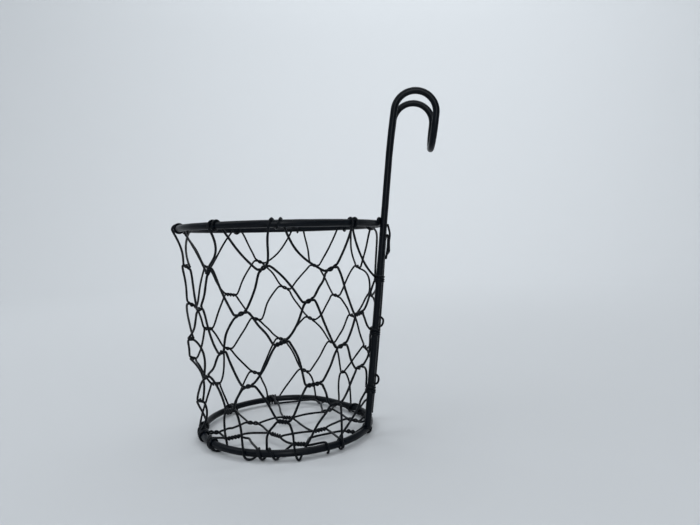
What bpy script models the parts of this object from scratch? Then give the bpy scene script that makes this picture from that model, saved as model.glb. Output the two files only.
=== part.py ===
"""A small hanging wire basket: two welded rings, a double-legged hook bent from one wire, and a
hand-made hexagonal net of thin wires for the side and the floor. Built in metres, +Z up, with
every dimension below in millimetres. The bowl opens upwards and the hook is on the +X side.
"""

import math

import bmesh
import bpy
from mathutils import Vector

MM = 0.001

# Heavy wire
HEAVY_R = 1.6
HEAVY_BEVEL = 2
HEAVY_TILT = math.radians(22.5)
RING_STEPS = 48
RIM_R = 48.5
RIM_Z = 100.4
BASE_R = 41.16
BASE_Z = 3.1

# Hook: both legs stand on the base ring, pass outside the rim and end in a rounded nose
LEG_Y = 11.57
LEG_FOOT_X = 40.5
LEG_FOOT_Z = 5.1
LEG_LEAN = math.radians(5.93)
LEG_STRAIGHT_TOP_Z = 131.5
CROWN_X = 66.3
CROWN_Z = 151.4
CROWN_R = 9.7
CROWN_START = math.radians(9.5)
CROWN_END = math.radians(187.5)
CROWN_FLAT = math.radians(7.5)
DOWN_LEG = 2.5

# Thin net wire
THIN_R = 0.5
THIN_BEVEL = 1
TWIST_R = 0.76
TWIST_LENGTH = 6.0
FLOOR_TWIST_LENGTH = 5.0
TWIST_STEPS = 5
WRAP_R = 2.6
WRAP_STEPS = 9
WRAP_PITCH = 1.5
RIM_WRAP_PITCH = 2.2
LEG_WRAP_STEP = 60
LEG_WRAP_SPACING = 1.2
NET_BULGE = 1.5
LEG_CLEARANCE = 2.5

# Rows of the side net, from the rim down: each place is (degrees round from +X, height, tilt).
RIM_WRAPS = (20, 53, 92, 137, 180, 206, 246.5, 278.7, 320)
ROW_1 = ((42, 77.6, 22), (78, 78.8, 24), (117, 82, 26), (160, 81.4, 22),
         (202, 82, 30), (239, 81.4, 34), (272, 82.4, 38), (306, 80.7, 28))
ROW_2 = ((24, 64.6, 20), (62, 62.3, 26), (101, 66.4, 28), (141, 64.1, 20), (185, 63.1, 18),
         (227, 64.7, 24), (258, 63.2, 24), (294, 67.7, 32), (327, 59.9, 22))
ROW_3 = ((46, 51.4, 24), (82, 47.9, 26), (121, 48.9, 18), (164, 48.5, 22),
         (202, 48.9, 30), (243, 46.5, 36), (278, 50.9, 24), (313, 47, 26))
ROW_4 = ((27, 35.8, 28), (64, 34.8, 26), (105, 37.1, 24), (147, 36, 16), (190, 39.3, 20),
         (227, 33.9, 24), (259, 32.3, 22), (296, 32.4, 14), (330, 35.1, 22))
ROW_5 = ((53, 18.9, 24), (87, 18.8, 30), (126, 19.8, 18), (163, 18.6, 10),
         (214, 21, 16), (247, 22.4, 30), (278, 17.1, -8), (315, 17.5, 12))
BASE_WRAPS = (28, 70, 108, 147, 192, 230, 262, 287, 330)
LEG_WRAP_HEIGHTS = (73.6, 47.9, 19.4)
# Loose ends above the wraps on the front leg: (degrees round the leg, distance, rise).
SLACK_LOOP = ((60, 3.0, 1.2), (20, 3.6, 2.6), (0, 3.9, 4.0), (20, 3.3, 5.6), (60, 2.8, 6.4))
LONG_LOOP = ((90, 2.8, 4.5), (88, 2.9, 9.5), (72, 3.1, 13.6), (45, 3.3, 14.6), (26, 3.4, 12.6),
             (16, 3.4, 9.6), (0, 3.2, 7.6), (-14, 3.9, 7.2), (-10, 4.9, 8.4), (-3, 4.8, 11.0),
             (-2, 4.9, 14.5), (0, 4.5, 18.5), (8, 3.2, 21.6), (20, 2.7, 22.8))

# Floor net: twists as (x, y, direction in degrees) from the bowl's axis.
FLOOR_Z = 3.7
FLOOR_TWISTS = {
    "left": (-31.0, -16.0, 11),
    "front_left": (-21.0, -23.0, 28),
    "mid_left": (-17.0, -3.2, -8),
    "front": (-1.7, -20.6, -26),
    "middle": (-2.6, 5.3, -10),
    "back": (18.8, 15.3, 40),
    "mid_right": (18.3, -13.2, 30),
    "right": (33.0, -0.4, -22),
    "front_right": (30.3, -16.0, -20),
    "nose": (11.4, -30.7, 6),
}
# Each floor wire: start wrap, the twists it runs through (+1 on the back side, -1 on the front
# side of the twist), end wrap. Angles are degrees round the base ring.
FLOOR_WIRES = (
    (221, (("front_left", -1), ("hook", 272), ("nose", -1)), 303),
    (208, (("left", -1), ("front_left", 1), ("front", -1), ("nose", 1), ("front_right", -1)), 321),
    (199, (("left", 1), ("mid_left", -1), ("front", 1), ("mid_right", -1), ("front_right", 1)), 338),
    (156, (("mid_left", 1), ("middle", -1), ("mid_right", 1), ("right", -1)), 355),
    (118, (("middle", 1), ("back", -1), ("right", 1)), 7),
    (99, (("point", (-1.0, 36.5)), ("point", (8.0, 31.5)), ("back", 1)), 48),
)

# Weld fillets: half sizes across, along and up
WELD_TOP = (0.75, 1.4, 0.75)
WELD_BASE = (0.65, 1.3, 0.6)

# The bowl's axis stands here, so that the bounding box is centred on the origin.
SHIFT_X = -12.9
SHIFT_Y = -0.2


def polar(degrees, radius, z):
    angle = math.radians(degrees)
    return Vector((radius * math.cos(angle), radius * math.sin(angle), z))


def radial(degrees):
    return polar(degrees, 1.0, 0.0)


def leg_x(z):
    return LEG_FOOT_X + (z - LEG_FOOT_Z) * math.tan(LEG_LEAN)


def leg_angle(z):
    """Degrees round from +X at which the back leg stands; the front leg is at minus this."""
    return math.degrees(math.atan2(LEG_Y, leg_x(z)))


def net_radius(degrees, z):
    """Distance of the net from the bowl's axis, bulging on the left and tucked behind the legs."""
    share = (z - BASE_Z) / (RIM_Z - BASE_Z)
    radius = BASE_R + (RIM_R - BASE_R) * share
    radius += NET_BULGE * math.sin(math.pi * share) * (0.5 - 0.5 * math.cos(math.radians(degrees)))
    behind = math.hypot(leg_x(z), LEG_Y) - LEG_CLEARANCE
    offset = (degrees + 180.0) % 360.0 - 180.0
    away = abs(abs(offset) - leg_angle(z))
    share_behind = min(1.0, max(0.0, (12.0 - away) / 6.0))
    if behind < radius:
        radius += (behind - radius) * share_behind
    return radius


def on_net(degrees, z):
    return polar(degrees, net_radius(degrees, z), z)


def place_of(point):
    """(degrees, height) of a point of the net."""
    return math.degrees(math.atan2(point.y, point.x)) % 360.0, point.z


def strand(start, end, steps):
    """Points between two places of the net, kept on its surface."""
    first, low = place_of(start)
    last, high = place_of(end)
    turn = (last - first + 180.0) % 360.0 - 180.0
    start_off = math.hypot(start.x, start.y) - net_radius(first, low)
    end_off = math.hypot(end.x, end.y) - net_radius(last, high)
    points = []
    for k in range(1, steps):
        u = k / steps
        degrees = first + turn * u
        z = low + (high - low) * u
        off = start_off * max(0.0, 1.0 - 3.0 * u) + end_off * max(0.0, 3.0 * u - 2.0)
        points.append(polar(degrees, net_radius(degrees, z) + off, z))
    return points


def twist(place, side):
    """One wire's share of a side-net twist; side is +1 for the upper wire and -1 for the lower."""
    degrees, z, tilt = place
    centre = on_net(degrees, z)
    out = radial(degrees)
    around = Vector((-out.y, out.x, 0.0))
    up = (on_net(degrees, z + 1.0) - on_net(degrees, z - 1.0)).normalized()
    lean = math.radians(tilt)
    axis = around * math.cos(lean) + up * math.sin(lean)
    across = up * math.cos(lean) - around * math.sin(lean)
    points = []
    for k in range(TWIST_STEPS + 1):
        share = k / TWIST_STEPS
        phase = 2.0 * math.pi * share
        offset = across * math.cos(phase) + out * math.sin(phase)
        points.append(centre + axis * TWIST_LENGTH * (share - 0.5) + offset * TWIST_R * side)
    return points


def floor_twist(name, side):
    """One wire's share of a floor twist; side is +1 for the wire behind and -1 in front."""
    x, y, direction = FLOOR_TWISTS[name]
    angle = math.radians(direction)
    axis = Vector((math.cos(angle), math.sin(angle), 0.0))
    across = Vector((-math.sin(angle), math.cos(angle), 0.0))
    points = []
    for k in range(TWIST_STEPS + 1):
        share = k / TWIST_STEPS
        phase = 2.0 * math.pi * share
        offset = across * math.cos(phase) + Vector((0.0, 0.0, math.sin(phase)))
        along = axis * FLOOR_TWIST_LENGTH * (share - 0.5)
        points.append(Vector((x, y, FLOOR_Z)) + along + offset * TWIST_R * side)
    return points


def ring_wrap(degrees, ring_r, ring_z, first, last, pitch, advance):
    """Turns round a ring, from section angle first to last (0 is outside, 90 is on top)."""
    turns = abs(last - first) / 360.0
    points = []
    for k in range(WRAP_STEPS + 1):
        share = k / WRAP_STEPS
        section = math.radians(first + (last - first) * share)
        moved = advance * pitch * turns * (share - 0.5)
        place = degrees + math.degrees(moved / ring_r)
        centre = polar(place, ring_r, ring_z)
        offset = radial(place) * math.cos(section) + Vector((0.0, 0.0, math.sin(section)))
        points.append(centre + offset * WRAP_R)
    return points


def leg_point(section, distance, z):
    """A point beside the front leg, section degrees round it: 0 is outside and 90 is behind."""
    along = Vector((math.sin(LEG_LEAN), 0.0, math.cos(LEG_LEAN)))
    outward = Vector((leg_x(z), -LEG_Y, 0.0)).normalized()
    outward = (outward - along * outward.dot(along)).normalized()
    around = along.cross(outward)
    angle = math.radians(section)
    offset = outward * math.cos(angle) + around * math.sin(angle)
    return Vector((leg_x(z), -LEG_Y, z)) + offset * distance


def leg_wrap(z, first, last):
    """A hook of net wire round the front leg, climbing only after it has passed its own start."""
    steps = abs(last - first) // LEG_WRAP_STEP
    points = []
    for k in range(steps + 1):
        section = first + (last - first) * k / steps
        climb = LEG_WRAP_SPACING * max(0.0, abs(section - first) - 90.0) / 270.0
        points.append(leg_point(section, WRAP_R, z + (climb if steps > 5 else 0.0)))
    return points


def side_course(number):
    """Centre line of one of the six side-net wires, counted from the rim."""
    rows = (RIM_WRAPS, ROW_1, ROW_2, ROW_3, ROW_4, ROW_5, BASE_WRAPS)
    visits = []
    for row, side in ((number - 1, -1), (number, 1)):
        for place in rows[row]:
            behind_leg = place == rows[row][0]
            if row == 0:
                ends = (180, -360) if behind_leg else (0, 540)
                visits.append((place, ring_wrap(place, RIM_R, RIM_Z, *ends, RIM_WRAP_PITCH, 1)))
            elif row == 6:
                ends = (180, 720) if behind_leg else (0, -540)
                visits.append((place, ring_wrap(place, BASE_R, BASE_Z, *ends, WRAP_PITCH, 1)))
            else:
                visits.append((place[0], twist(place, side)))
    visits.sort(key=lambda visit: visit[0])
    height = LEG_WRAP_HEIGHTS[(number - 1) // 2]
    upper = 1 if number % 2 else -1
    start = leg_wrap(height + upper * 0.5 * LEG_WRAP_SPACING, 480, 180)
    end = leg_wrap(height + upper * 1.5 * LEG_WRAP_SPACING, 180, -240 if upper > 0 else -120)
    points = list(start)
    lead = (place_of(start[-1])[0] + 5.0, start[-1].z + upper * 0.3)
    points.append(on_net(*lead))
    for _, visit in visits:
        steps = 5 if visit is visits[0][1] else 2
        points += strand(points[-1], visit[0], steps)
        points += visit
    lead = on_net(place_of(end[0])[0] - 5.0, end[0].z + upper * 0.3)
    points += strand(points[-1], lead, 2)
    points.append(lead)
    points += end
    if upper > 0:
        loop = LONG_LOOP if number == 1 else SLACK_LOOP
        points += [leg_point(section, distance, end[-1].z + rise) for section, distance, rise in loop]
    return points


def floor_course(start, visits, end):
    """Centre line of one floor-net wire, wound on the base ring at both ends."""
    points = ring_wrap(start, BASE_R, BASE_Z, -450, 90, WRAP_PITCH, -1)
    for name, value in visits:
        if name == "hook":
            points += ring_wrap(value, BASE_R, BASE_Z, 90, -450, WRAP_PITCH, 1)
        elif name == "point":
            points.append(Vector((value[0], value[1], FLOOR_Z)))
        else:
            points += floor_twist(name, value)
    points += ring_wrap(end, BASE_R, BASE_Z, 90, -450, WRAP_PITCH, 1)
    return points


def hook_profile():
    """(x, z) points from the foot of a leg up, over the crown and down to the nose."""
    leg_top = Vector((leg_x(LEG_STRAIGHT_TOP_Z), LEG_STRAIGHT_TOP_Z))
    arc_start = Vector((CROWN_X - CROWN_R * math.cos(CROWN_START),
                        CROWN_Z + CROWN_R * math.sin(CROWN_START)))
    tangent_up = Vector((math.sin(LEG_LEAN), math.cos(LEG_LEAN)))
    corner = leg_top + tangent_up * 8.5
    profile = [Vector((LEG_FOOT_X, LEG_FOOT_Z)), leg_top]
    for k in range(1, 4):
        u = k / 4
        profile.append(leg_top * (1 - u) ** 2 + corner * 2 * u * (1 - u) + arc_start * u ** 2)
    headings = [CROWN_START + (math.pi / 2 - CROWN_FLAT - CROWN_START) * k / 5 for k in range(6)]
    headings += [math.pi / 2 + CROWN_FLAT + (CROWN_END - math.pi / 2 - CROWN_FLAT) * k / 6
                 for k in range(7)]
    for heading in headings:
        profile.append(Vector((CROWN_X - CROWN_R * math.cos(heading),
                               CROWN_Z + CROWN_R * math.sin(heading))))
    return profile


def hook_path():
    """Centre line of the whole hook wire, from one foot round the nose to the other foot."""
    profile = hook_profile()
    down = Vector((math.sin(CROWN_END), math.cos(CROWN_END)))
    bend_start = profile[-1] + down * DOWN_LEG
    points = [Vector((p.x, -LEG_Y, p.y)) for p in profile]
    for k in range(13):
        angle = math.pi * k / 12
        place = bend_start + down * LEG_Y * math.sin(angle)
        points.append(Vector((place.x, -LEG_Y * math.cos(angle), place.y)))
    points += [Vector((p.x, LEG_Y, p.y)) for p in reversed(profile)]
    return points


def black_paint(name):
    material = bpy.data.materials.new(name)
    material.use_nodes = True
    shader = material.node_tree.nodes["Principled BSDF"]
    shader.inputs["Base Color"].default_value = (0.012, 0.013, 0.015, 1.0)
    shader.inputs["Roughness"].default_value = 0.38
    return material


def add_piece(name, data, parent):
    data.materials.append(black_paint(name + "_paint"))
    piece = bpy.data.objects.new(name, data)
    piece.parent = parent
    bpy.context.scene.collection.objects.link(piece)
    return piece


def wire(name, points, radius, bevel, closed=False, tilt=0.0):
    """A round wire along a centre line: a bevelled poly curve, capped unless it is a ring."""
    curve = bpy.data.curves.new(name, "CURVE")
    curve.dimensions = "3D"
    curve.bevel_depth = radius * MM
    curve.bevel_resolution = bevel
    curve.use_fill_caps = not closed
    spline = curve.splines.new("POLY")
    spline.points.add(len(points) - 1)
    spline.use_cyclic_u = closed
    for target, point in zip(spline.points, points):
        target.co = (point.x * MM, point.y * MM, point.z * MM, 1.0)
        target.tilt = tilt
    return curve


def fillet(name, sizes):
    """A small rounded fillet of weld metal: half sizes across, along and up."""
    shape = bmesh.new()
    bmesh.ops.create_uvsphere(shape, u_segments=8, v_segments=6, radius=MM)
    bmesh.ops.scale(shape, vec=sizes, verts=shape.verts)
    mesh = bpy.data.meshes.new(name)
    shape.to_mesh(mesh)
    shape.free()
    mesh.shade_smooth()
    return mesh


def ring_points(radius, z):
    """Corners of a ring's centre line, set so that the wire keeps its true mean radius."""
    corner_r = radius / (0.5 + 0.5 * math.cos(math.pi / RING_STEPS))
    return [polar(360.0 * k / RING_STEPS, corner_r, z) for k in range(RING_STEPS)]


def add_welds(basket):
    """A fillet above each crossing of a leg and the rim, and one outside each foot."""
    spots = (("top", RIM_Z, RIM_R + 1.05, RIM_Z + 2.35, WELD_TOP),
             ("bottom", BASE_Z, BASE_R + 2.25, BASE_Z + 1.0, WELD_BASE))
    for level, leg_z, radius, z, sizes in spots:
        for word, side in (("front", -1), ("back", 1)):
            name = "weld_%s_%s" % (level, word)
            degrees = side * leg_angle(leg_z)
            weld = add_piece(name, fillet(name, sizes), basket)
            weld.location = polar(degrees, radius, z) * MM
            weld.rotation_euler.z = math.radians(degrees)


def build():
    for old in list(bpy.data.objects):
        bpy.data.objects.remove(old, do_unlink=True)
    basket = bpy.data.objects.new("basket", None)
    basket.location = (SHIFT_X * MM, SHIFT_Y * MM, 0.0)
    bpy.context.scene.collection.objects.link(basket)
    for name, radius, z in (("top_ring", RIM_R, RIM_Z), ("bottom_ring", BASE_R, BASE_Z)):
        ring = wire(name, ring_points(radius, z), HEAVY_R, HEAVY_BEVEL, True, HEAVY_TILT)
        add_piece(name, ring, basket)
    hook = wire("hanger_wire", hook_path(), HEAVY_R, HEAVY_BEVEL, False, HEAVY_TILT)
    add_piece("hanger_wire", hook, basket)
    for number in range(1, 7):
        name = "side_net_wire_%d" % number
        add_piece(name, wire(name, side_course(number), THIN_R, THIN_BEVEL), basket)
    for number, run in enumerate(FLOOR_WIRES, 1):
        name = "floor_net_wire_%d" % number
        add_piece(name, wire(name, floor_course(*run), THIN_R, THIN_BEVEL), basket)
    add_welds(basket)


build()
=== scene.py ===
"""A small black hanging wire basket on a pale floor: two heavy rings, a hook bent from one
doubled-back wire, and a hand-twisted net of thin wire.

Lengths are in millimetres, from the bowl's axis and the floor, until a mesh is made. Degrees go
round that axis from +X, where the hook stands. A section angle goes round a wire instead: 0 is
outside, and 90 is on top of a ring or behind a leg.
"""

import math

import bpy
from mathutils import Matrix, Vector, noise


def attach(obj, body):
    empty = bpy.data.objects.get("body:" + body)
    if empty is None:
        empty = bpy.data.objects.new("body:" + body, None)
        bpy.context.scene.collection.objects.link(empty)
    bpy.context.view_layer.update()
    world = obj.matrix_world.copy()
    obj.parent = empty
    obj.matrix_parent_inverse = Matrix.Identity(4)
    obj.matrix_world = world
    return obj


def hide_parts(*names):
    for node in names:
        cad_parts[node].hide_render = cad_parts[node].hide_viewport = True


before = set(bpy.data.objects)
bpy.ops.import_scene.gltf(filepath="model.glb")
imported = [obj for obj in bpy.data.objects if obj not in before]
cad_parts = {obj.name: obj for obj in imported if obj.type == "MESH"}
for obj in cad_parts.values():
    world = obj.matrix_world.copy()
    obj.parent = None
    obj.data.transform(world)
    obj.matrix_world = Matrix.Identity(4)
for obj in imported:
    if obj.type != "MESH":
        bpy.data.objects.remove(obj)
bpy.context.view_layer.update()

MM = 0.001
BOWL_AXIS = Vector((-12.9, -0.2, 0.0))

# Heavy wire. Relief is the unevenness of the paint as a share of the radius, and grain is how
# quickly it changes, per mm.
HEAVY_R = 1.58
HEAVY_SIDES = 28
HEAVY_RELIEF = 0.022
HEAVY_GRAIN = 0.22

# Thin net wire
THIN_R = 0.52
THIN_SIDES = 12
THIN_RELIEF = 0.09
THIN_GRAIN = 0.45

# Rounded end of a wire: (distance past the end, width), as shares of the radius
END_CAP = ((0.50, 0.30), (0.46, 0.62), (0.30, 0.88))

# The two rings. The base ring is pressed inwards on its far right: the place and the width of that
# in degrees, its depth, and the height above the ring at which the net is no longer drawn in.
RING_STEPS = 260
RIM_R = 48.5
RIM_Z = 100.4
BASE_R = 41.16
BASE_Z = 3.1
PRESSED_AT = 50.0
PRESSED_WIDTH = 26.0
PRESSED_DEPTH = 3.8
PRESSED_HEIGHT = 14.0

# Hook: two straight legs that lean outwards, a crown on each, and a nose that joins the crowns
LEG_Y = 11.57
LEG_FOOT_X = 40.5
LEG_FOOT_Z = 5.1
LEG_LEAN = math.radians(5.93)
LEG_END_Z = 4.4
LEG_FIRST_STEP_Z = 5.0
LEG_STEPS_Z = range(7, 131, 2)
LEG_STRAIGHT_TOP_Z = 131.5
LEG_BEND_REACH = 8.5
LEG_BEND_STEPS = 12
CROWN_X = 66.08
CROWN_Z = 151.15
CROWN_R = 9.7
CROWN_START = math.radians(9.5)
CROWN_END = math.radians(187.5)
CROWN_STEPS = 48
DOWN_LEG = 2.5
NOSE_STEPS = 40
# The back leg bows outwards a little: how far, where the bow starts and how high it reaches
BACK_LEG_BOW = 0.85
BACK_BOW_START_Z = -15.0
BACK_BOW_SPAN = 115.0

# Weld fillets: level, radius and height of their ring, how far outside and above its centre line
# they sit, and their half sizes across, along and up. Lumps are (depth, rate, axis of the seed).
WELDS = (("top", RIM_R, RIM_Z, 1.1, 1.6, (1.0, 2.4, 1.4)),
         ("bottom", BASE_R, BASE_Z, 1.6, 1.1, (1.2, 2.0, 0.9)))
WELD_ROWS = 20
WELD_COLUMNS = 28
WELD_LUMPS = ((0.10, 1.7, 0), (0.05, 4.0, 1))
WELD_SEED_STEP = 3.0

# How the net wire runs. Shoulders are how stiffly a strand leaves a twist.
TWIST_R = 0.53
TWIST_STEPS = 20
STRAND_STEP = 0.8
SIDE_SHOULDER = 5.0
FLOOR_SHOULDER = 4.0
SHOULDER_SHARE = 0.6
SIDE_LEAST_STEPS = 8
FLOOR_LEAST_STEPS = 6
SURFACE_R = 45.0
# Uneven hand bending of the strands: its size, rate along a strand, and place in the noise field.
# Each strand has its own seed: that many are kept for each wire.
HAND_BEND = 0.45
WANDER_RATE = 2.2
SIDE_WANDER = (7.31, 0.5)
FLOOR_WANDER = (5.17, 9.5)
SIDE_SEEDS = 20
FLOOR_SEEDS = 10
# The net is tucked in behind the legs, fully up to 6 degrees from a leg and not at all past 12.
LEG_CLEARANCE = 2.3
TUCK_END = 12.0
TUCK_FADE = 6.0
# Wraps round heavy wire. Under the base ring they hang a little lower than their own radius.
WRAP_R = 2.09
WRAP_STEPS = 18
BASE_SQUEEZE = 1.16
HANG_SHARE = 0.6
HITCH_EASE = 1.6

# Side net, from the rim down: (degrees round, height, tilt, length, turns) of each twist, and where
# the net is dented also (distance out of the surface, skew out of the surface). A negative number
# of turns means that the upper wire loops over itself on its way in.
TWIST_ROWS = (
    ((41, 78.5, 17, 5, 1), (78.5, 79, 12, 5, 1), (117.5, 82, 26, 5.5, 1), (159.5, 80.5, 14, 4.5, 1),
     (210, 83, -21, 4.5, -1, -0.9, -30), (239.5, 81.5, 50, 3.6, 2), (271.5, 82.5, 32, 4.5, 1),
     (306.5, 81, 23, 6, 1)),
    ((21.5, 64.5, 12, 5.5, 1), (61.5, 62, 12, 5, 1), (100.5, 66.5, 27, 6, 1), (141, 64.5, 10, 7.5, 2),
     (184, 63, 29, 4.5, 1, 0.3, 50), (227.5, 64.5, 21, 4.5, 1), (258, 63.5, 23, 6, 1),
     (294, 68, 22, 4.5, 1), (328, 60, 8, 6, 2)),
    ((45.5, 51.5, 9, 5, 1), (82, 48.5, 26, 5.5, 1), (122.5, 49.5, 23, 5.5, 1), (165, 48.5, 11, 7, 2),
     (210.5, 49.5, 7, 4, -1, 0.9, -22), (243.5, 46.5, 25, 4, 1), (279, 51, 21, 6, 2),
     (314, 47, 16, 5.5, 1)),
    ((27, 36, 13, 5, 1), (64.5, 35.5, 13, 4, 1), (104.5, 37, 18, 5, 1), (147.5, 35.5, 18, 5.5, 1),
     (193, 37.5, 20, 5, 1, 0.9, 22), (227, 34, 22, 5, 1), (259.5, 32.5, 15, 5, 1),
     (296.5, 32, 4, 7, 2), (330.5, 35, 4, 6, 1)),
    ((53.5, 19.5, -11, 3, 1), (87, 18.5, 23, 5.5, 1), (126, 19.5, 24, 6, 1), (163, 19, 13, 8, 2),
     (213.5, 21, 2, 4, -1, 0.4, -25), (246, 21, 15, 5, 2), (278.5, 17, -10, 5, 2),
     (310.5, 21.5, -4, 5.5, 1)),
)
# Wraps round the rim: (degrees round, distance moved along the ring per turn, gap at its start)
RIM_WRAPS = ((26.5, 5.6, 0.0), (55.0, 4.2, 0.0), (90.5, 3.8, 0.0), (132.8, 4.6, 0.0),
             (180.0, 1.6, 0.0), (203.0, 2.6, 1.0), (246.5, 2.0, 0.0), (278.7, 3.6, 0.0),
             (320.0, 2.6, 0.0))
# Wraps round the base ring: (degrees round, distance moved along the ring per turn, half turns, how
# far the first half turn stands clear of the ring). The first one has its own section angles.
BASE_WRAPS = ((33.5, 7.7, 3, 0.0), (65.5, 9.8, 3, 0.0), (112.5, 4.8, 3, 0.0), (147.5, 4.5, 3, 0.0),
              (190, 1.3, 3, 0.0), (220.5, 16.0, 3, 0.0), (261, 5.8, 3, 1.2), (288, 8.6, 1, 2.4),
              (314.5, 1.0, 1, 0.0))
# Section angles at which the wraps start and stop. The first wrap of each ring starts inside it.
RIM_TURNS = (0, 540)
RIM_FIRST_TURNS = (180, -360)
BASE_FIRST_TURNS = (180, 720)
# How far in mm the middle of a hand-bent strand lies to the side: {side wire: {strand: mm}}
BOWS = {
    1: {1: 8.0, 3: -2.5, 6: -1.5, 7: 1.0, 8: 1.0, 9: 2.0, 12: 3.0, 13: -4.5, 16: -2.0, 18: -3.5},
    2: {2: 3.0, 6: 0.5, 7: 0.5, 11: -1.5, 12: -1.0, 13: -0.5, 14: -1.0, 15: 1.0},
    3: {4: -1.5, 5: -1.0, 6: 1.0, 9: 2.5, 11: -1.5, 12: -1.5, 13: 1.0, 15: -1.0, 17: 0.5, 18: -1.0},
    4: {2: -2.0, 3: -1.0, 8: 1.0, 9: -2.0, 11: 2.0, 12: -1.5, 13: -1.5, 14: -1.0, 15: 1.0, 18: -4.2},
    5: {6: 0.5, 8: -1.0, 9: 1.5, 10: 3.0, 12: 1.5, 15: -0.5, 18: 3.5},
    6: {3: 1.5, 4: 0.5, 6: 1.0, 8: -1.0, 9: -1.0, 11: 1.5, 12: 1.0, 14: 1.0},
}
# The same, out of the net's surface, for the strands that a dent pushed in
DENTS = {1: {11: -1.5}, 2: {10: -2.0}, 3: {10: -1.0, 11: -1.0}, 4: {10: -1.0, 11: -1.5},
         5: {10: -3.0}, 6: {10: -1.0, 11: -2.0}}

# Wraps round the front leg, where the side wires start and end: a height for each pair of wires, and
# the section angles of each wire's first and last wrap. A wrap of more degrees than LEG_LONG_WRAP
# also climbs the leg.
LEG_WRAP_HEIGHTS = (74.3, 49.4, 22.0)
LEG_WRAP_SPACING = 0.95
LEG_LONG_WRAP = 300
LEG_CLIMB_START = 90.0
UPPER_WIRE_TURNS = ((480, 180), (180, -240))
LOWER_WIRE_TURNS = ((240, 180), (180, -120))
LOWER_WIRE_DROP = 0.4
# Loose ends above those wraps: (degrees round the leg, distance, rise)
SLACK_LOOP = ((60, 2.6, 0.4), (30, 2.8, 0.9), (6, 3.2, 1.9), (4, 3.5, 3.0), (20, 3.2, 4.2),
              (60, 2.5, 5.1))
LONG_LOOP = ((90, 2.8, 4.5), (88, 2.8, 11.0), (70, 2.6, 17.0), (42, 2.6, 18.6), (22, 2.7, 16.0),
             (14, 2.7, 12.5), (16, 2.6, 10.0), (2, 2.5, 8.2), (-16, 2.7, 7.8), (-18, 3.0, 9.4),
             (-4, 3.7, 11.2), (-2, 3.5, 13.0), (-6, 3.4, 16.0), (-2, 3.4, 19.0), (14, 2.6, 21.6),
             (40, 2.2, 23.4))
LOOP_STEP = 0.5
LOOP_OVERLAP = 4

# Floor net: twists as (x, y, direction in degrees, turns, length)
FLOOR_Z = 3.7
TAIL_Z = 2.1
FLOOR_TWISTS = {
    "left": (-32.0, -17.2, 3, 1, 5.0),
    "front_left": (-20.5, -23.7, 36, 2, 6.0),
    "mid_left": (-16.4, -4.2, -14, 1, 6.0),
    "front": (-1.5, -20.9, -36, 2, 6.4),
    "middle": (-0.4, 3.6, -12, 2, 5.6),
    "back": (18.5, 14.6, 42, 1, 6.2),
    "mid_right": (18.2, -14.2, 34, 2, 6.0),
    "right": (33.0, -0.3, -32, 1, 6.4),
    "front_right": (33.0, -16.6, -24, 1, 4.6),
    "nose": (11.4, -31.9, -4, 2, 5.2),
}
# Each floor wire: where its start wrap is, what it visits, where its end wrap is, and the section
# angle at which that stops. It visits twists (1 on their back side, -1 on their front side), a hook
# (a long hitch under the ring: degrees, distance moved per turn), a return (its own end, wound round
# the ring there and back along its last twist), and points that it passes (x, y, direction in
# degrees). Low points are where the end of a wire lies along the lower inside of the base ring.
FLOOR_WIRES = (
    (226, (("front_left", -1), ("point", (-13.0, -25.5, -66)), ("hook", (268, 5.7)), ("nose", -1)),
     304.5, -80),
    (208, (("left", -1), ("front_left", 1), ("front", -1), ("nose", 1), ("point", (14.6, -25.0, 64)),
           ("front_right", -1), ("return", 347)), None, 0),
    (199, (("left", 1), ("point", (-25.8, -11.6, 2)), ("mid_left", -1), ("front", 1),
           ("mid_right", -1)), 314.8, -40),
    (151, (("mid_left", 1), ("middle", -1), ("mid_right", 1), ("right", -1)), 353, 60),
    (116, (("point", (-10.6, 26.6, -50)), ("middle", 1), ("back", -1), ("right", 1)), 5, 60),
    (112, (("point", (-12.0, 27.4, 24)), ("point", (-4.5, 30.2, 14)), ("point", (8.0, 34.4, -12)),
           ("point", (13.6, 25.5, -76)), ("back", 1), ("point", (21.5, 28.2, 10)),
           ("low point", (28.6, 22.3, -48)), ("low point", (36.0, 13.1, -63)),
           ("low point", (39.0, 3.4, -82)), ("low point", (38.9, -5.5, -98))), None, 0),
)
FLOOR_WRAP_PITCH = 1.3
POINT_LENGTH = 0.5
# Section angles of the floor wires' wraps: on top, one and a half turns on, and one turn on
WRAP_TOP = 90
LONG_WRAP_END = -450
RETURN_WRAP_END = -270


# ---------------------------------------------------------------- shapes of the net

def polar(degrees, radius, z):
    angle = math.radians(degrees)
    return Vector((radius * math.cos(angle), radius * math.sin(angle), z))


def leg_x(z):
    return LEG_FOOT_X + (z - LEG_FOOT_Z) * math.tan(LEG_LEAN)


def leg_angle(z):
    """Degrees round at which the back leg stands; the front leg is at minus this."""
    return math.degrees(math.atan2(LEG_Y, leg_x(z)))


def pressed_in(degrees):
    """How far the base ring is pressed inwards there."""
    offset = (degrees - PRESSED_AT + 180.0) % 360.0 - 180.0
    return PRESSED_DEPTH * math.exp(-(offset / PRESSED_WIDTH) ** 2)


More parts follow.
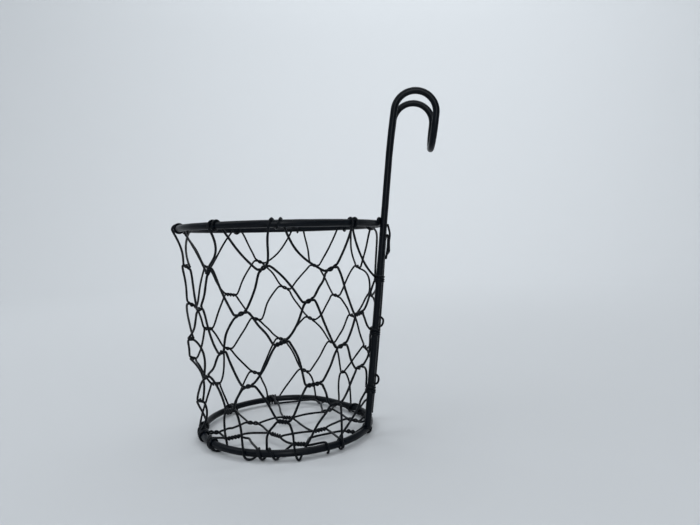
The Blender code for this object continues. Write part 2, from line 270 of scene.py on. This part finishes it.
def net_radius(degrees, z):
    """Distance of the net from the bowl's axis: a cone, drawn in with the base ring where that is
    pressed in, and tucked in behind the legs."""
    share = (z - BASE_Z) / (RIM_Z - BASE_Z)
    radius = BASE_R + (RIM_R - BASE_R) * share
    radius -= pressed_in(degrees) * max(0.0, 1.0 - (z - BASE_Z) / PRESSED_HEIGHT) ** 2
    behind = math.hypot(leg_x(z), LEG_Y) - LEG_CLEARANCE
    offset = (degrees + 180.0) % 360.0 - 180.0
    away = abs(abs(offset) - leg_angle(z))
    share_behind = min(1.0, max(0.0, (TUCK_END - away) / TUCK_FADE))
    share_behind *= share_behind * (3.0 - 2.0 * share_behind)
    if behind < radius:
        radius += (behind - radius) * share_behind
    return radius


def on_net(degrees, z, out=0.0):
    return polar(degrees, net_radius(degrees, z) + out, z)


def net_place(point):
    """(degrees, height, distance outside the net) of a point."""
    degrees = math.degrees(math.atan2(point.y, point.x)) % 360.0
    return degrees, point.z, math.hypot(point.x, point.y) - net_radius(degrees, point.z)


def net_heading(before, after):
    """Unit direction between two close points, in the net's unrolled surface."""
    a = net_place(before)
    b = net_place(after)
    turn = (b[0] - a[0] + 180.0) % 360.0 - 180.0
    return Vector((math.radians(turn) * SURFACE_R, b[1] - a[1], b[2] - a[2])).normalized()


def hermite(start, end, start_pull, end_pull, u):
    """Point at share u of the smooth curve between two points that leave with these pulls."""
    a = 2 * u ** 3 - 3 * u ** 2 + 1
    b = u ** 3 - 2 * u ** 2 + u
    c = 3 * u ** 2 - 2 * u ** 3
    d = u ** 3 - u ** 2
    return start * a + start_pull * b + end * c + end_pull * d


def hand_bend(seed, u, field):
    """How far a strand wanders to the side at share u, by hand."""
    wander = noise.noise(Vector((seed * field[0], u * WANDER_RATE, field[1])))
    return HAND_BEND * 2.0 * wander


def side_strand(before, after, bow, dent, seed):
    """Points of the free wire between two runs, kept on the net's surface and bent by hand."""
    first = net_place(before[-1])
    last = net_place(after[0])
    turn = (last[0] - first[0] + 180.0) % 360.0 - 180.0
    start = Vector((0.0, first[1], first[2]))
    end = Vector((math.radians(turn) * SURFACE_R, last[1], last[2]))
    chord = (end - start).length
    pull = min(SIDE_SHOULDER, SHOULDER_SHARE * chord)
    start_pull = net_heading(before[-2], before[-1]) * pull
    end_pull = net_heading(after[0], after[1]) * pull
    across = Vector((start.y - end.y, end.x - start.x, 0.0)).normalized()
    steps = max(SIDE_LEAST_STEPS, round(chord / STRAND_STEP))
    points = []
    for k in range(1, steps):
        u = k / steps
        hump = math.sin(math.pi * u) ** 2
        place = hermite(start, end, start_pull, end_pull, u)
        place += across * hump * (bow + hand_bend(seed, u, SIDE_WANDER))
        place.z += dent * hump
        degrees = first[0] + math.degrees(place.x / SURFACE_R)
        points.append(on_net(degrees, place.y, place.z))
    return points


def floor_strand(before, after, seed):
    """Points of a floor wire between two runs, bent a little by hand."""
    start, end = before[-1], after[0]
    chord = (end - start).length
    pull = min(FLOOR_SHOULDER, SHOULDER_SHARE * chord)
    start_pull = (before[-1] - before[-2]).normalized() * pull
    end_pull = (after[1] - after[0]).normalized() * pull
    across = Vector((start.y - end.y, end.x - start.x, 0.0)).normalized()
    steps = max(FLOOR_LEAST_STEPS, round(chord / STRAND_STEP))
    points = []
    for k in range(1, steps):
        u = k / steps
        hump = math.sin(math.pi * u) ** 2
        place = hermite(start, end, start_pull, end_pull, u)
        points.append(place + across * hump * hand_bend(seed, u, FLOOR_WANDER))
    return points


def side_twist(place, side):
    """One wire's share of a side-net twist; side is 1 for the upper wire and -1 for the lower."""
    degrees, z, tilt, length, turns = place[:5]
    distance, skew = place[5:] or (0.0, 0.0)
    centre = on_net(degrees, z, distance)
    radial = polar(degrees, 1.0, 0.0)
    tangent = Vector((-radial.y, radial.x, 0.0))
    out = radial * math.cos(math.radians(skew)) - tangent * math.sin(math.radians(skew))
    around = tangent * math.cos(math.radians(skew)) + radial * math.sin(math.radians(skew))
    up = (on_net(degrees, z + 1.0) - on_net(degrees, z - 1.0)).normalized()
    lean = math.radians(tilt)
    axis = around * math.cos(lean) + up * math.sin(lean)
    across = up * math.cos(lean) - around * math.sin(lean)
    steps = TWIST_STEPS * abs(turns)
    points = []
    for k in range(steps + 1):
        phase = 2.0 * math.pi * k / TWIST_STEPS
        offset = across * math.cos(phase) + out * math.sin(phase)
        points.append(centre + axis * length * (k / steps - 0.5) + offset * TWIST_R * side)
    if turns < 0 and side > 0:
        points.reverse()
    return points


def floor_twist(name, side):
    """One wire's share of a floor twist; side is 1 for the wire behind and -1 for the one in front."""
    x, y, direction, turns, length = FLOOR_TWISTS[name]
    angle = math.radians(direction)
    axis = Vector((math.cos(angle), math.sin(angle), 0.0))
    across = Vector((-math.sin(angle), math.cos(angle), 0.0))
    steps = TWIST_STEPS * turns
    points = []
    for k in range(steps + 1):
        phase = 2.0 * math.pi * k / TWIST_STEPS
        offset = across * math.cos(phase) + Vector((0.0, 0.0, math.sin(phase)))
        along = axis * length * (k / steps - 0.5)
        points.append(Vector((x, y, FLOOR_Z)) + along + offset * TWIST_R * side)
    return points


def ring_wrap(on_base, degrees, turns, pitch, advance=1, hang=0.0, gap=0.0):
    """Turns round the base ring or the rim, from the first section angle to the last.

    It moves along the ring by pitch per turn, towards more degrees if advance is 1. A hanging wrap
    stands clear of the ring by hang in its first half turn, and moves along mostly there. A wrap
    with a gap stands off the ring where it starts."""
    ring_r, ring_z, squeeze = (BASE_R, BASE_Z, BASE_SQUEEZE) if on_base else (RIM_R, RIM_Z, 1.0)
    first, last = turns
    steps = round(abs(last - first) / 360.0 * WRAP_STEPS)
    half_turns = abs(last - first) / 180.0
    points = []
    for k in range(steps + 1):
        share = k / steps
        turned = half_turns * share
        section = math.radians(first + (last - first) * share)
        along = share
        clear = 0.0
        if hang > 0.0:
            swing = min(1.0, turned)
            along = swing ** HITCH_EASE
            if half_turns > 1.0:
                along = HANG_SHARE * swing * swing * (3.0 - 2.0 * swing)
                along += (1.0 - HANG_SHARE) * max(0.0, turned - 1.0) / (half_turns - 1.0)
            clear = hang * math.sin(math.pi * swing) ** 2
        if turned < 0.5:
            clear += gap * math.cos(math.pi * turned) ** 2
        place = degrees + math.degrees(advance * pitch * half_turns / 2.0 * (along - 0.5) / ring_r)
        centre_r = ring_r - (pressed_in(place) if on_base else 0.0)
        drop = squeeze if math.sin(section) < 0.0 else 1.0
        offset = polar(place, math.cos(section), math.sin(section) * drop)
        points.append(polar(place, centre_r + clear, ring_z) + offset * WRAP_R)
    return points


def leg_point(section, distance, z):
    """A point beside the front leg, at this section angle round it."""
    along = Vector((math.sin(LEG_LEAN), 0.0, math.cos(LEG_LEAN)))
    outward = Vector((leg_x(z), -LEG_Y, 0.0)).normalized()
    outward = (outward - along * outward.dot(along)).normalized()
    around = along.cross(outward)
    angle = math.radians(section)
    offset = outward * math.cos(angle) + around * math.sin(angle)
    return Vector((leg_x(z), -LEG_Y, z)) + offset * distance


def leg_wrap(z, turns):
    """Net wire wound round the front leg. A long wrap climbs by one spacing in its first turn, to
    clear its own start."""
    first, last = turns
    steps = round(abs(last - first) / 360.0 * WRAP_STEPS)
    long_wrap = abs(last - first) > LEG_LONG_WRAP
    points = []
    for k in range(steps + 1):
        section = first + (last - first) * k / steps
        past_start = max(0.0, abs(section - first) - LEG_CLIMB_START)
        climb = LEG_WRAP_SPACING * past_start / (360.0 - LEG_CLIMB_START)
        points.append(leg_point(section, WRAP_R, z + (climb if long_wrap else 0.0)))
    return points


def spline(knots, spacing):
    """Points of a smooth curve through a few knots, about this far apart."""
    points = [knots[0]]
    for k in range(len(knots) - 1):
        before = knots[max(0, k - 1)]
        after = knots[min(len(knots) - 1, k + 2)]
        a, b = knots[k], knots[k + 1]
        span = (b - a).length
        start_pull = (b - before).normalized() * span
        end_pull = (after - a).normalized() * span
        steps = max(2, round(span / spacing))
        points += [hermite(a, b, start_pull, end_pull, i / steps) for i in range(1, steps + 1)]
    return points


def side_visits(row, side):
    """What a side wire runs through in one row: row 0 is the rim and the last row the base ring."""
    if 0 < row <= len(TWIST_ROWS):
        return [side_twist(place, side) for place in TWIST_ROWS[row - 1]]
    runs = []
    if row == 0:
        for k, (degrees, pitch, gap) in enumerate(RIM_WRAPS):
            turns = RIM_TURNS if k else RIM_FIRST_TURNS
            runs.append(ring_wrap(False, degrees, turns, pitch, gap=gap))
    else:
        for k, (degrees, pitch, halves, hang) in enumerate(BASE_WRAPS):
            turns = (0, -180 * halves) if k else BASE_FIRST_TURNS
            runs.append(ring_wrap(True, degrees, turns, pitch, hang=hang))
    return runs


def side_course(number):
    """Centre line of one of the six side-net wires, counted from the rim. It zigzags between two
    rows, as the lower wire of the row above and the upper wire of the row below."""
    lists = [side_visits(number - 1, -1), side_visits(number, 1)]
    longer, shorter = sorted(lists, key=len, reverse=True)
    visits = [longer[0]]
    for k in range(len(shorter)):
        visits += [shorter[k], longer[k + 1]]
    height = LEG_WRAP_HEIGHTS[(number - 1) // 2]
    upper = number % 2 == 1
    if upper:
        start = leg_wrap(height, UPPER_WIRE_TURNS[0])
        end = leg_wrap(height + LEG_WRAP_SPACING, UPPER_WIRE_TURNS[1])
    else:
        start = leg_wrap(height - LOWER_WIRE_DROP, LOWER_WIRE_TURNS[0])
        end = leg_wrap(height - LEG_WRAP_SPACING, LOWER_WIRE_TURNS[1])
    runs = [start] + visits + [end]
    points = list(start)
    seeds = number * SIDE_SEEDS
    for index in range(1, len(runs)):
        bow = BOWS[number].get(index, 0.0)
        dent = DENTS[number].get(index, 0.0)
        points += side_strand(runs[index - 1], runs[index], bow, dent, seeds + index)
        points += runs[index]
    if upper:
        loop = LONG_LOOP if number == 1 else SLACK_LOOP
        knots = [points[-LOOP_OVERLAP], points[-1]]
        knots += [leg_point(section, distance, end[-1].z + rise) for section, distance, rise in loop]
        points = points[:-LOOP_OVERLAP] + spline(knots, LOOP_STEP)
    return points


def floor_course(number, start, visits, end, end_section):
    """Centre line of one floor-net wire, which starts wound on the base ring."""
    runs = [ring_wrap(True, start, (LONG_WRAP_END, WRAP_TOP), FLOOR_WRAP_PITCH, -1)]
    for name, value in visits:
        if name == "hook":
            runs.append(ring_wrap(True, value[0], (WRAP_TOP, LONG_WRAP_END), value[1]))
        elif name == "return":
            runs.append(ring_wrap(True, value, (WRAP_TOP, RETURN_WRAP_END), FLOOR_WRAP_PITCH))
            runs.append(floor_twist(visits[-2][0], 1)[::-1])
        elif name in ("point", "low point"):
            place = Vector((value[0], value[1], FLOOR_Z if name == "point" else TAIL_Z))
            runs.append([place, place + polar(value[2], POINT_LENGTH, 0.0)])
        else:
            runs.append(floor_twist(name, value))
    if end is not None:
        runs.append(ring_wrap(True, end, (WRAP_TOP, end_section), FLOOR_WRAP_PITCH))
    points = list(runs[0])
    for index in range(1, len(runs)):
        points += floor_strand(runs[index - 1], runs[index], number * FLOOR_SEEDS + index)
        points += runs[index]
    return points


def hook_path():
    """Centre line of the whole hook wire, from one foot round the nose to the other foot."""
    leg_top = Vector((leg_x(LEG_STRAIGHT_TOP_Z), LEG_STRAIGHT_TOP_Z))
    arc_start = Vector((CROWN_X - CROWN_R * math.cos(CROWN_START),
                        CROWN_Z + CROWN_R * math.sin(CROWN_START)))
    up_leg = Vector((math.sin(LEG_LEAN), math.cos(LEG_LEAN)))
    corner = leg_top + up_leg * LEG_BEND_REACH
    profile = [Vector((leg_x(z), z)) for z in (LEG_END_Z, LEG_FIRST_STEP_Z, *LEG_STEPS_Z)]
    for k in range(LEG_BEND_STEPS + 1):
        u = k / LEG_BEND_STEPS
        profile.append(leg_top * (1 - u) ** 2 + corner * 2 * u * (1 - u) + arc_start * u ** 2)
    for k in range(1, CROWN_STEPS + 1):
        heading = CROWN_START + (CROWN_END - CROWN_START) * k / CROWN_STEPS
        profile.append(Vector((CROWN_X - CROWN_R * math.cos(heading),
                               CROWN_Z + CROWN_R * math.sin(heading))))
    down = Vector((math.sin(CROWN_END), math.cos(CROWN_END)))
    bend_start = profile[-1] + down * DOWN_LEG
    points = [Vector((p.x, -LEG_Y, p.y)) for p in profile]
    for k in range(NOSE_STEPS + 1):
        angle = math.pi * k / NOSE_STEPS
        place = bend_start + down * LEG_Y * math.sin(angle)
        points.append(Vector((place.x, -LEG_Y * math.cos(angle), place.y)))
    for p in reversed(profile):
        share = min(1.0, max(0.0, (p.y - BACK_BOW_START_Z) / BACK_BOW_SPAN))
        points.append(Vector((p.x + BACK_LEG_BOW * math.sin(math.pi * share), LEG_Y, p.y)))
    return points


# ---------------------------------------------------------------- meshes

def carried_sides(points, closed):
    """The path's direction at each point, and a direction across it, carried along without twisting."""
    count = len(points)
    tangents = []
    for k in range(count):
        before = points[k - 1] if closed or k else points[0]
        after = points[(k + 1) % count] if closed or k < count - 1 else points[-1]
        tangents.append((after - before).normalized())
    side = Vector((0.0, 0.0, 1.0)) if closed else tangents[0].orthogonal().normalized()
    sides = [side]
    for k in range(1, count):
        step = points[k] - points[k - 1]
        scale = step.dot(step)
        side_mirrored = side - step * (2.0 / scale) * step.dot(side)
        tangent_mirrored = tangents[k - 1] - step * (2.0 / scale) * step.dot(tangents[k - 1])
        turn = tangents[k] - tangent_mirrored
        side = side_mirrored
        if turn.length_squared > 1e-12:
            side = side_mirrored - turn * (2.0 / turn.dot(turn)) * turn.dot(side_mirrored)
        sides.append(side.normalized())
    return tangents, sides


def tube(points, radius, sides, relief, grain, closed=False):
    """Vertices and faces of a round wire with slightly uneven paint."""
    tangents, across = carried_sides(points, closed)
    rings = [(points[k], tangents[k], across[k], 1.0) for k in range(len(points))]
    if not closed:
        first, last = rings[0], rings[-1]
        opening = [(first[0] - first[1] * radius * a, first[1], first[2], b) for a, b in END_CAP]
        closing = [(last[0] + last[1] * radius * a, last[1], last[2], b) for a, b in END_CAP[::-1]]
        rings = opening + rings + closing
    verts = []
    for centre, tangent, side, swell in rings:
        other = tangent.cross(side)
        for j in range(sides):
            angle = 2.0 * math.pi * j / sides
            way = side * math.cos(angle) + other * math.sin(angle)
            bump = 1.0 + relief * noise.noise((centre + way * radius) * grain)
            verts.append((centre + way * radius * swell * bump + BOWL_AXIS) * MM)
    faces = []
    count = len(rings)
    for k in range(count if closed else count - 1):
        a = k * sides
        b = (k + 1) % count * sides
        for j in range(sides):
            n = (j + 1) % sides
            faces.append((a + j, a + n, b + n, b + j))
    if not closed:
        faces.append(tuple(reversed(range(sides))))
        faces.append(tuple(range((count - 1) * sides, count * sides)))
    return verts, faces


def weld_fillet(centre, axes, sizes, seed):
    """Vertices and faces of a lumpy fillet of weld metal; axes are across, along and up."""
    verts = [(centre - axes[2] * sizes[2] + BOWL_AXIS) * MM]
    for i in range(1, WELD_ROWS):
        polar_angle = math.pi * i / WELD_ROWS
        for j in range(WELD_COLUMNS):
            turn = 2.0 * math.pi * j / WELD_COLUMNS
            way = Vector((math.sin(polar_angle) * math.cos(turn),
                          math.sin(polar_angle) * math.sin(turn),
                          -math.cos(polar_angle)))
            lump = 1.0
            for depth, rate, seed_axis in WELD_LUMPS:
                shift = Vector((0.0, 0.0, 0.0))
                shift[seed_axis] = seed
                lump += depth * noise.noise(way * rate + shift)
            point = centre.copy()
            for axis, size, part in zip(axes, sizes, way):
                point += axis * size * part * lump
            verts.append((point + BOWL_AXIS) * MM)
    verts.append((centre + axes[2] * sizes[2] + BOWL_AXIS) * MM)
    top = len(verts) - 1
    faces = []
    for j in range(WELD_COLUMNS):
        n = (j + 1) % WELD_COLUMNS
        faces.append((0, 1 + n, 1 + j))
        for i in range(WELD_ROWS - 2):
            a = 1 + i * WELD_COLUMNS
            b = a + WELD_COLUMNS
            faces.append((a + j, a + n, b + n, b + j))
        a = 1 + (WELD_ROWS - 2) * WELD_COLUMNS
        faces.append((a + j, a + n, top))
    return verts, faces


def make_object(name, shape, material):
    """Adds a smooth mesh object to the scene."""
    data = bpy.data.meshes.new(name)
    data.from_pydata(shape[0], [], shape[1])
    data.shade_smooth()
    data.materials.append(material)
    made = bpy.data.objects.new(name, data)
    bpy.context.scene.collection.objects.link(made)
    return made


def make_piece(name, shape, material, node):
    """A mesh piece that takes the place of one CAD node."""
    piece = make_object(name, shape, material)
    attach(piece, "root")
    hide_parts(node)


# ---------------------------------------------------------------- paint

def add_node(tree, kind, inputs=None, **settings):
    """A shader node with its settings, and its inputs linked or set."""
    node = tree.nodes.new(kind)
    for key, value in settings.items():
        setattr(node, key, value)
    for key, value in (inputs or {}).items():
        if isinstance(value, bpy.types.NodeSocket):
            tree.links.new(value, node.inputs[key])
        else:
            node.inputs[key].default_value = value
    return node


SPECK_RATE = 7.0
SPECK_BUMP = 0.6
PAINT_SPECULAR = 0.12


def black_paint(name, dark, worn, rough, scale, bump):
    """Satin black paint on wire: mottled tone, uneven gloss, fine runs and grain."""
    material = bpy.data.materials.new(name)
    material.use_nodes = True
    tree = material.node_tree
    shader = tree.nodes["Principled BSDF"]
    place = add_node(tree, "ShaderNodeTexCoord").outputs["Object"]
    mottle = add_node(tree, "ShaderNodeTexNoise",
                      {"Vector": place, "Scale": scale, "Detail": 6.0, "Roughness": 0.6})
    speck = add_node(tree, "ShaderNodeTexNoise",
                     {"Vector": place, "Scale": scale * SPECK_RATE, "Detail": 3.0, "Roughness": 0.55})
    tone = add_node(tree, "ShaderNodeValToRGB", {"Fac": mottle.outputs["Fac"]})
    tone.color_ramp.elements[0].position = 0.32
    tone.color_ramp.elements[0].color = dark
    tone.color_ramp.elements[1].position = 0.72
    tone.color_ramp.elements[1].color = worn
    gloss = add_node(tree, "ShaderNodeMapRange",
                     {"Value": speck.outputs["Fac"], "From Min": 0.3, "From Max": 0.7,
                      "To Min": rough[0], "To Max": rough[1]})
    runs = add_node(tree, "ShaderNodeBump",
                    {"Height": mottle.outputs["Fac"], "Strength": bump, "Distance": 0.0004})
    grain = add_node(tree, "ShaderNodeBump",
                     {"Height": speck.outputs["Fac"], "Strength": bump * SPECK_BUMP,
                      "Distance": 0.0001, "Normal": runs.outputs["Normal"]})
    tree.links.new(tone.outputs["Color"], shader.inputs["Base Color"])
    tree.links.new(gloss.outputs["Result"], shader.inputs["Roughness"])
    tree.links.new(grain.outputs["Normal"], shader.inputs["Normal"])
    shader.inputs["Metallic"].default_value = 0.0
    shader.inputs["Specular IOR Level"].default_value = PAINT_SPECULAR
    return material


heavy_paint = black_paint("heavy_wire_paint", dark=(0.0012, 0.0024, 0.0044, 1.0),
                          worn=(0.003, 0.005, 0.008, 1.0), rough=(0.26, 0.40), scale=260.0, bump=0.16)
net_paint = black_paint("net_wire_paint", dark=(0.0012, 0.0024, 0.0042, 1.0),
                        worn=(0.0034, 0.0052, 0.0078, 1.0), rough=(0.30, 0.46), scale=420.0, bump=0.22)
weld_paint = black_paint("weld_paint", dark=(0.0012, 0.0024, 0.0042, 1.0),
                         worn=(0.004, 0.0055, 0.008, 1.0), rough=(0.32, 0.50), scale=520.0, bump=0.45)

# ---------------------------------------------------------------- the basket

for name, radius, z, pressed in (("top_ring", RIM_R, RIM_Z, 0), ("bottom_ring", BASE_R, BASE_Z, 1)):
    turns = [360.0 * k / RING_STEPS for k in range(RING_STEPS)]
    loop = [polar(turn, radius - pressed * pressed_in(turn), z) for turn in turns]
    ring = tube(loop, HEAVY_R, HEAVY_SIDES, HEAVY_RELIEF, HEAVY_GRAIN, closed=True)
    make_piece(name + "_wire", ring, heavy_paint, name)

hook = tube(hook_path(), HEAVY_R, HEAVY_SIDES, HEAVY_RELIEF, HEAVY_GRAIN)
make_piece("hook_wire", hook, heavy_paint, "hanger_wire")

for number in range(1, 7):
    course = tube(side_course(number), THIN_R, THIN_SIDES, THIN_RELIEF, THIN_GRAIN)
    make_piece("side_net_%d" % number, course, net_paint, "side_net_wire_%d" % number)

for number, run in enumerate(FLOOR_WIRES, 1):
    course = tube(floor_course(number, *run), THIN_R, THIN_SIDES, THIN_RELIEF, THIN_GRAIN)
    make_piece("floor_net_%d" % number, course, net_paint, "floor_net_wire_%d" % number)

for level, ring_r, ring_z, outside, above, sizes in WELDS:
    for word, side in (("front", -1), ("back", 1)):
        degrees = side * leg_angle(ring_z)
        z = ring_z + above
        axes = (polar(degrees, 1.0, 0.0), polar(degrees + 90.0, 1.0, 0.0), Vector((0.0, 0.0, 1.0)))
        weld = weld_fillet(polar(degrees, ring_r + outside, z), axes, sizes, side * WELD_SEED_STEP + z)
        node = "weld_%s_%s" % (level, word)
        make_piece("%s_%s_weld" % (word, level), weld, weld_paint, node)

# ---------------------------------------------------------------- floor, light and camera
# From here on lengths are in metres. The floor is a disc that sweeps up into a wall all round.

FLOOR_R = 0.9
FLOOR_RINGS = 8
SWEEP_R = 0.9
SWEEP_STEPS = 24
WALL_RISE = 0.6
FLOOR_COLUMNS = 96
FLOOR_COLOUR = (0.57, 0.585, 0.60, 1.0)
FLOOR_ROUGHNESS = 0.9


def sweep_point(k):
    """(radius, height) of step k of the quarter circle between the floor and the wall."""
    angle = math.pi * k / (2 * SWEEP_STEPS)
    return FLOOR_R + SWEEP_R * math.sin(angle), SWEEP_R * (1 - math.cos(angle))


profile = [(FLOOR_R * k / FLOOR_RINGS, 0.0) for k in range(1, FLOOR_RINGS + 1)]
profile += [sweep_point(k) for k in range(1, SWEEP_STEPS + 1)]
profile += [(FLOOR_R + SWEEP_R, SWEEP_R + WALL_RISE)]
floor_verts = [(0.0, 0.0, 0.0)]
floor_faces = []
for r, z in profile:
    for j in range(FLOOR_COLUMNS):
        angle = 2 * math.pi * j / FLOOR_COLUMNS
        floor_verts.append((r * math.cos(angle), r * math.sin(angle), z))
for j in range(FLOOR_COLUMNS):
    n = (j + 1) % FLOOR_COLUMNS
    floor_faces.append((0, 1 + j, 1 + n))
    for i in range(len(profile) - 1):
        a = 1 + i * FLOOR_COLUMNS
        b = a + FLOOR_COLUMNS
        floor_faces.append((a + j, b + j, b + n, a + n))
floor_paint = bpy.data.materials.new("floor_paper")
floor_paint.use_nodes = True
floor_shader = floor_paint.node_tree.nodes["Principled BSDF"]
floor_shader.inputs["Base Color"].default_value = FLOOR_COLOUR
floor_shader.inputs["Roughness"].default_value = FLOOR_ROUGHNESS
floor = make_object("studio_floor", (floor_verts, floor_faces), floor_paint)

ROOM_COLOUR = (0.86, 0.92, 1.0, 1.0)
ROOM_STRENGTH = 0.3
world = bpy.data.worlds.new("soft_room")
world.use_nodes = True
world.node_tree.nodes["Background"].inputs["Color"].default_value = ROOM_COLOUR
world.node_tree.nodes["Background"].inputs["Strength"].default_value = ROOM_STRENGTH
bpy.context.scene.world = world
bpy.context.scene.view_settings.view_transform = "Standard"

# Soft lights: name, place, target, size, power in watts, colour
LIGHTS = (
    ("window_left", (-0.75, -0.25, 1.05), (0.0, 0.0, 0.06), (0.9, 0.9), 4.6, (0.93, 0.97, 1.0)),
    ("ceiling", (0.35, 0.2, 1.3), (0.0, 0.0, 0.05), (1.2, 1.2), 3.2, (0.97, 0.99, 1.0)),
    ("backdrop", (0.1, 0.75, 1.5), (-0.1, 1.75, 0.35), (1.4, 0.6), 18.0, (0.95, 0.98, 1.0)),
    ("front_fill", (0.5, -0.9, 0.8), (0.0, 0.0, 0.06), (0.8, 0.8), 1.0, (1.0, 0.99, 0.97)),
    ("front_strip", (0.12, -0.8, 0.42), (0.0, 0.0, 0.1), (0.14, 0.7), 2.6, (0.95, 0.98, 1.0)),
)
for name, place, target, size, power, colour in LIGHTS:
    light_data = bpy.data.lights.new(name, "AREA")
    light_data.shape = "RECTANGLE"
    light_data.size, light_data.size_y = size
    light_data.energy = power
    light_data.color = colour
    light = bpy.data.objects.new(name, light_data)
    light.location = place
    aim = Vector(target) - Vector(place)
    light.rotation_euler = aim.to_track_quat("-Z", "Y").to_euler()
    light.visible_camera = False
    bpy.context.scene.collection.objects.link(light)

# The camera, fitted to the outlines of the two rings and to the legs
CAMERA_PLACE = Vector((39.364, -262.581, 92.277)) * MM
CAMERA_YAW = 0.071956
CAMERA_PITCH = 0.0391308
CAMERA_ROLL = -0.0270460
CAMERA_LENS = 27.547
CAMERA_SENSOR = 36.0
CAMERA_NEAR = 0.01
level_right = Vector((math.cos(CAMERA_YAW), math.sin(CAMERA_YAW), 0.0))
forward = Vector((-math.sin(CAMERA_YAW) * math.cos(CAMERA_PITCH),
                  math.cos(CAMERA_YAW) * math.cos(CAMERA_PITCH), -math.sin(CAMERA_PITCH)))
level_up = level_right.cross(forward)
right = level_right * math.cos(CAMERA_ROLL) + level_up * math.sin(CAMERA_ROLL)
up = level_up * math.cos(CAMERA_ROLL) - level_right * math.sin(CAMERA_ROLL)
camera_data = bpy.data.cameras.new("camera")
camera_data.lens = CAMERA_LENS
camera_data.sensor_width = CAMERA_SENSOR
camera_data.clip_start = CAMERA_NEAR
camera = bpy.data.objects.new("camera", camera_data)
turn = Matrix((right, up, -forward)).transposed()
camera.matrix_world = Matrix.Translation(CAMERA_PLACE) @ turn.to_4x4()
bpy.context.scene.collection.objects.link(camera)
bpy.context.scene.camera = camera
